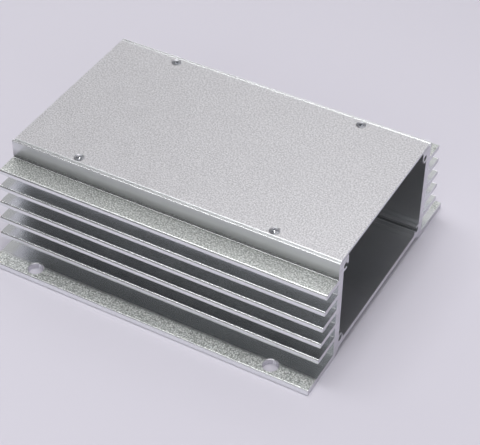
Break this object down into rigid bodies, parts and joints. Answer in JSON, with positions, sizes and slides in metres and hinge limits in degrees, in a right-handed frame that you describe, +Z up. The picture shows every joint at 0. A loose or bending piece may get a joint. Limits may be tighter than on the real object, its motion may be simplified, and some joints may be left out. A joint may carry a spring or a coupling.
{
  "type": "extruded aluminium enclosure",
  "caption": "Finned rectangular aluminium extrusion with mounting flanges, open at both ends, and a flat cover held by countersunk screws.",
  "frame": {"origin": "middle of the underside, level with the feet", "axes": "+X along the extrusion towards one open end, +Y across it towards one finned side, +Z up towards the cover"},
  "size_m": [0.1554, 0.1342, 0.054],
  "materials": {
    "base": "blasted and clear anodised, fine satin grain",
    "cover": "blasted and clear anodised, fine satin grain",
    "screws": "bright zinc-plated steel"
  },
  "bodies": {
    "root": {"base_extrusion": "base", "top_cover": "cover", "cover_screw_1": "screws", "cover_screw_2": "screws", "cover_screw_3": "screws", "cover_screw_4": "screws"}
  },
  "joints": []
}
